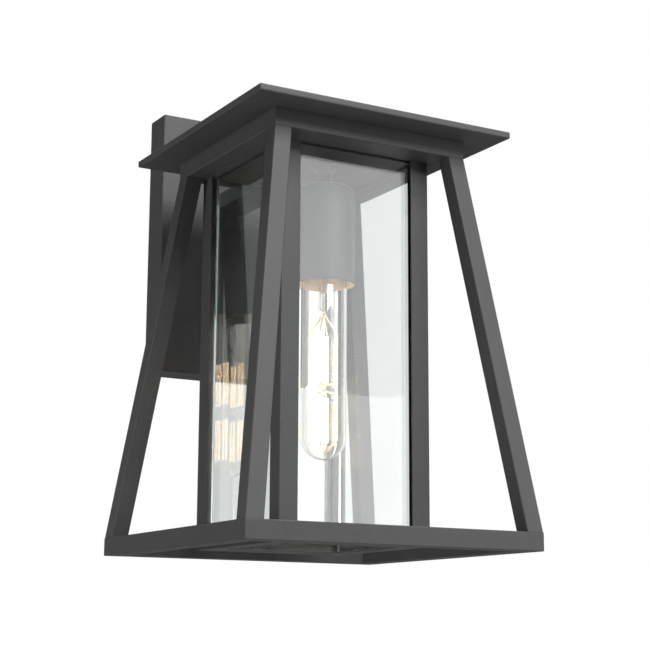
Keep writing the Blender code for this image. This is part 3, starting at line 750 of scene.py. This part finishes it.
def aim(obj, place, target):
    obj.location = place
    obj.rotation_euler = (Vector(target) - Vector(place)).to_track_quat("-Z", "Y").to_euler()


def softbox(name, place, target, width, height, power, colour=(1, 1, 1)):
    light = bpy.data.lights.new(name, "AREA")
    light.shape = "RECTANGLE"
    light.size = width
    light.size_y = height
    light.energy = power
    light.color = colour
    obj = bpy.data.objects.new(name, light)
    bpy.context.scene.collection.objects.link(obj)
    aim(obj, place, target)
    obj.visible_camera = False
    return obj


def radiance(width, height, value):
    """Power of a rectangle light whose face looks this bright."""
    return value * math.pi * width * height


def lamp_light(name, way, distance, width, height, value, colour=(1, 1, 1), shift=0.0):
    """A softbox facing the lantern, then slid sideways by shift without turning."""
    sideways = Vector((-way.y, way.x, 0)).normalized() * shift
    softbox(name, LANTERN_MIDDLE + way * distance + sideways, LANTERN_MIDDLE + sideways, width, height,
            radiance(width, height, value), colour)


def make_floor():
    bm = bmesh.new()
    bmesh.ops.create_grid(bm, x_segments=1, y_segments=1, size=2.5, matrix=Matrix.Translation((0, 0, -1.5)))
    mesh = bpy.data.meshes.new("floor")
    bm.to_mesh(mesh)
    bm.free()
    obj = bpy.data.objects.new("floor", mesh)
    material, tree, shader = new_material("pale_floor")
    point = object_point(tree)
    tree.links.new(two_colours(tree, noise(tree, point, 6.0, 3.0), (0.78, 0.78, 0.77), (0.82, 0.82, 0.81)),
                   shader.inputs["Base Color"])
    shader.inputs["Roughness"].default_value = 0.7
    mesh.materials.append(material)
    bpy.context.scene.collection.objects.link(obj)


def make_world():
    """White behind the lantern, a little greyer through glass, and dim for everything it lights."""
    world = bpy.data.worlds.new("studio")
    bpy.context.scene.world = world
    world.use_nodes = True
    tree = world.node_tree
    tree.nodes.clear()
    output = tree.nodes.new("ShaderNodeOutputWorld")
    path = tree.nodes.new("ShaderNodeLightPath")
    levels = []
    for value in (WORLD_SEEN, WORLD_THROUGH, WORLD_LIGHT):
        background = tree.nodes.new("ShaderNodeBackground")
        background.inputs["Color"].default_value = (*value[:3], 1.0)
        background.inputs["Strength"].default_value = value[3]
        levels.append(background)
    inner = tree.nodes.new("ShaderNodeMixShader")
    outer = tree.nodes.new("ShaderNodeMixShader")
    tree.links.new(path.outputs["Is Transmission Ray"], inner.inputs["Fac"])
    tree.links.new(levels[2].outputs[0], inner.inputs[1])
    tree.links.new(levels[1].outputs[0], inner.inputs[2])
    tree.links.new(path.outputs["Is Camera Ray"], outer.inputs["Fac"])
    tree.links.new(inner.outputs[0], outer.inputs[1])
    tree.links.new(levels[0].outputs[0], outer.inputs[2])
    tree.links.new(outer.outputs[0], output.inputs["Surface"])


def make_camera():
    data = bpy.data.cameras.new("camera")
    data.lens = CAMERA_LENS
    data.sensor_width = SENSOR_WIDTH
    data.clip_start = 0.01
    data.clip_end = 50.0
    obj = bpy.data.objects.new("camera", data)
    bpy.context.scene.collection.objects.link(obj)
    forward = Vector((math.sin(CAMERA_YAW) * math.cos(CAMERA_PITCH),
                      math.cos(CAMERA_YAW) * math.cos(CAMERA_PITCH), math.sin(CAMERA_PITCH)))
    right = Vector((math.cos(CAMERA_YAW), -math.sin(CAMERA_YAW), 0))
    up = right.cross(forward)
    rolled_right = right * math.cos(CAMERA_ROLL) + up * math.sin(CAMERA_ROLL)
    rolled_up = up * math.cos(CAMERA_ROLL) - right * math.sin(CAMERA_ROLL)
    turn = Matrix((rolled_right, rolled_up, -forward)).transposed()
    obj.matrix_world = Matrix.Translation(CAMERA_PLACE) @ turn.to_4x4()
    bpy.context.scene.camera = obj


WORLD_SEEN = (1.0, 1.0, 1.0, 1.0)
WORLD_THROUGH = (0.97, 1.0, 1.0, 0.72)
WORLD_LIGHT = (1.0, 1.0, 1.0, 0.06)
LANTERN_MIDDLE = Vector((0, -0.157, -0.1))

make_world()
make_floor()
make_camera()
key_way = Vector((0.487, -0.851, 0.0736))
lamp_light("key_softbox", key_way, 1.4, 0.83, 0.91, 3.3, shift=0.335)
lamp_light("front_fill", Vector((0.05, -0.80, 0.60)), 1.5, 0.8, 0.8, 18.0)
lamp_light("side_fill", Vector((-0.97, -0.12, -0.1)), 1.6, 1.0, 1.0, 4.8)
lamp_light("top_wash", Vector((0.05, 0.1, 1.0)), 1.9, 1.6, 1.6, 9.0)
lamp_light("left_card", Vector((-0.487, 0.851, -0.016)), 1.5, 1.0, 0.7, 0.35, (1.0, 0.93, 0.84))

scene = bpy.context.scene
scene.view_settings.view_transform = "Standard"
scene.view_settings.look = "None"
scene.view_settings.exposure = 0.0
scene.view_settings.gamma = 1.0
